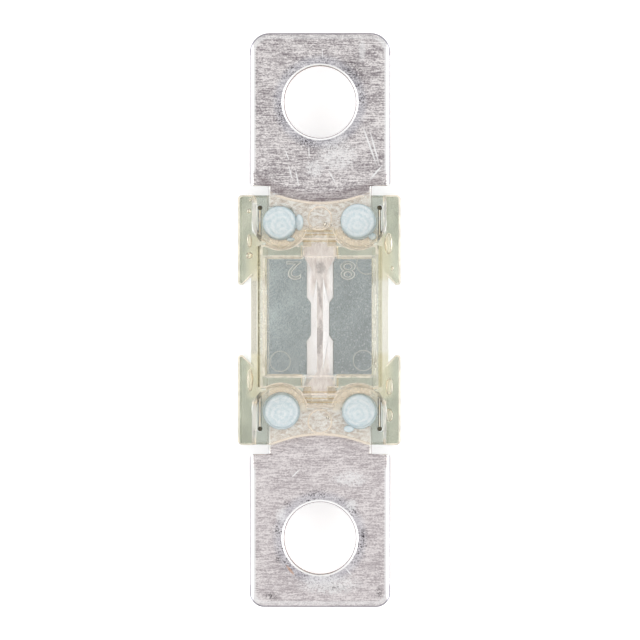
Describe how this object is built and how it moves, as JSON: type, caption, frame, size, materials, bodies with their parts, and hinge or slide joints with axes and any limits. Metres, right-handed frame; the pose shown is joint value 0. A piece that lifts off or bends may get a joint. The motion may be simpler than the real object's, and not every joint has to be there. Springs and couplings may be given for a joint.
{
  "type": "bolt down strip fuse",
  "caption": "Bolt-down strip fuse: a flat metal strip with a bolt hole in each end and a narrow fuse element, clamped in a clear two-part housing with staked posts and hooked wings.",
  "frame": {"origin": "under the middle of the strip, on the plane of the housing's flat back", "axes": "+Y along the strip towards the bolt hole that the picture shows at the top, +X across the strip, +Z from the back of the housing to its staked front"},
  "size_m": [0.019, 0.0672, 0.0104],
  "materials": {
    "tinned_strip": "matt tin plate over a rolled strip, with fine scratches along the rolling direction",
    "front_plastic": "clear pale straw moulding, polished faces",
    "rear_plastic": "clear pale grey-blue moulding, polished faces, with frosted staked heads"
  },
  "bodies": {
    "root": {"fuse_strip": "tinned_strip", "front_housing": "front_plastic", "rear_housing": "rear_plastic"}
  },
  "joints": []
}
